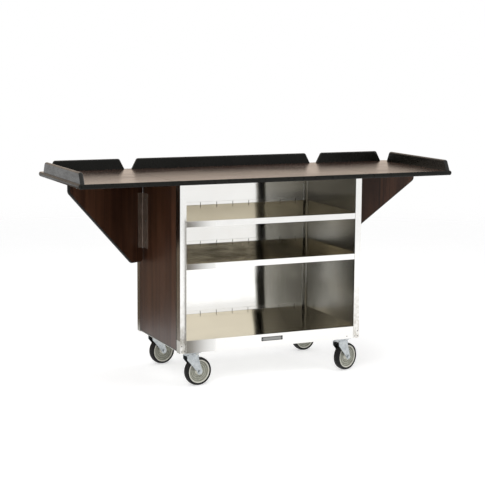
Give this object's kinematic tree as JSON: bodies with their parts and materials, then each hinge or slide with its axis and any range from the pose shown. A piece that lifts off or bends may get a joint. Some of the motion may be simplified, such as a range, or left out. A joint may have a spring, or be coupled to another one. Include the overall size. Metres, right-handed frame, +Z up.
{
  "type": "food service trolley",
  "caption": "Open-front steel shelf cabinet on swivel casters under a long laminate top with drop leaves on hinged brackets and low black rails.",
  "frame": {"origin": "on the floor under the middle of the trolley", "axes": "+X to the right along the length, +Y to the back, +Z up"},
  "size_m": [1.81, 0.622, 0.9715],
  "materials": {
    "stainless": "brushed",
    "top_laminate": "satin laminate on board",
    "walnut_laminate": "satin laminate on board",
    "black_edging": "soft gloss",
    "black_rail": "black laminate on board",
    "black_plastic": "matte",
    "bronze_hinge": "satin bronze",
    "zinc": "bright zinc plate",
    "wheel_grey": "moulded",
    "tyre": "matte",
    "nameplate": "blank, satin"
  },
  "bodies": {
    "cabinet": {"back_panel": "stainless", "left_side_wall": "stainless", "right_side_wall": "stainless", "left_side_panel": "walnut_laminate", "right_side_panel": "walnut_laminate", "left_side_trim": "black_edging", "right_side_trim": "black_edging", "upper_shelf": "stainless", "middle_shelf": "stainless", "base_shelf": "stainless", "caster_channels": "stainless", "nameplate": "nameplate", "cabinet_screws": "zinc", "caster_bolts": "zinc", "centre_top": "top_laminate", "centre_top_edging": "black_edging", "centre_rear_rail": "black_rail", "leaf_hinge_plates": "bronze_hinge", "bracket_hinge_plates": "bronze_hinge", "hinge_pins": "zinc", "front_left_caster_plate": "zinc", "front_right_caster_plate": "zinc", "rear_left_caster_plate": "zinc", "rear_right_caster_plate": "zinc"},
    "left_leaf": {"left_leaf": "top_laminate", "left_leaf_edging": "black_edging", "left_leaf_rear_rail": "black_rail", "left_end_rail": "black_rail", "left_leaf_hinge_flaps": "bronze_hinge", "left_bracket_stop": "black_plastic"},
    "left_bracket": {"left_bracket": "walnut_laminate", "left_bracket_edging": "black_edging", "left_bracket_hinge_flap": "bronze_hinge", "left_bracket_glide": "black_plastic"},
    "right_leaf": {"right_leaf": "top_laminate", "right_leaf_edging": "black_edging", "right_leaf_rear_rail": "black_rail", "right_end_rail": "black_rail", "right_leaf_hinge_flaps": "bronze_hinge", "right_bracket_stop": "black_plastic"},
    "right_bracket": {"right_bracket": "walnut_laminate", "right_bracket_edging": "black_edging", "right_bracket_hinge_flap": "bronze_hinge", "right_bracket_glide": "black_plastic"},
    "front_left_caster_fork": {"front_left_fork": "zinc", "front_left_axle": "zinc"},
    "front_left_caster_wheel": {"front_left_wheel": "wheel_grey", "front_left_tyre": "tyre"},
    "front_right_caster_fork": {"front_right_fork": "zinc", "front_right_axle": "zinc"},
    "front_right_caster_wheel": {"front_right_wheel": "wheel_grey", "front_right_tyre": "tyre"},
    "rear_left_caster_fork": {"rear_left_fork": "zinc", "rear_left_axle": "zinc"},
    "rear_left_caster_wheel": {"rear_left_wheel": "wheel_grey", "rear_left_tyre": "tyre"},
    "rear_right_caster_fork": {"rear_right_fork": "zinc", "rear_right_axle": "zinc"},
    "rear_right_caster_wheel": {"rear_right_wheel": "wheel_grey", "rear_right_tyre": "tyre"}
  },
  "joints": [
    {"name": "left_leaf_lift", "type": "hinge", "parent": "cabinet", "child": "left_leaf", "pos_m": [-0.487, 0, 0.8985], "axis": [0, 1, 0], "range_deg": [0, 4]},
    {"name": "left_bracket_swing", "type": "hinge", "parent": "cabinet", "child": "left_bracket", "pos_m": [-0.4495, 0.184, 0.7], "axis": [0, 0, 1], "range_deg": [0, 61.5]},
    {"name": "right_leaf_lift", "type": "hinge", "parent": "cabinet", "child": "right_leaf", "pos_m": [0.487, 0, 0.8985], "axis": [0, -1, 0], "range_deg": [0, 4]},
    {"name": "right_bracket_swing", "type": "hinge", "parent": "cabinet", "child": "right_bracket", "pos_m": [0.4495, 0.184, 0.7], "axis": [0, 0, -1], "range_deg": [0, 61.5]},
    {"name": "front_left_caster_swivel", "type": "hinge", "parent": "cabinet", "child": "front_left_caster_fork", "pos_m": [-0.374, -0.222, 0.145], "axis": [0, 0, 1], "continuous": true},
    {"name": "front_left_wheel_roll", "type": "hinge", "parent": "front_left_caster_fork", "child": "front_left_caster_wheel", "pos_m": [-0.33835, -0.21699, 0.0635], "axis": [-0.1392, 0.9903, 0], "continuous": true},
    {"name": "front_right_caster_swivel", "type": "hinge", "parent": "cabinet", "child": "front_right_caster_fork", "pos_m": [0.374, -0.222, 0.145], "axis": [0, 0, 1], "continuous": true},
    {"name": "front_right_wheel_roll", "type": "hinge", "parent": "front_right_caster_fork", "child": "front_right_caster_wheel", "pos_m": [0.40804, -0.21028, 0.0635], "axis": [-0.3256, 0.9455, 0], "continuous": true},
    {"name": "rear_left_caster_swivel", "type": "hinge", "parent": "cabinet", "child": "rear_left_caster_fork", "pos_m": [-0.374, 0.222, 0.145], "axis": [0, 0, 1], "continuous": true},
    {"name": "rear_left_wheel_roll", "type": "hinge", "parent": "rear_left_caster_fork", "child": "rear_left_caster_wheel", "pos_m": [-0.33879, 0.22948, 0.0635], "axis": [-0.2079, 0.9781, 0], "continuous": true},
    {"name": "rear_right_caster_swivel", "type": "hinge", "parent": "cabinet", "child": "rear_right_caster_fork", "pos_m": [0.374, 0.222, 0.145], "axis": [0, 0, 1], "continuous": true},
    {"name": "rear_right_wheel_roll", "type": "hinge", "parent": "rear_right_caster_fork", "child": "rear_right_caster_wheel", "pos_m": [0.40945, 0.22825, 0.0635], "axis": [-0.1736, 0.9848, 0], "continuous": true}
  ]
}
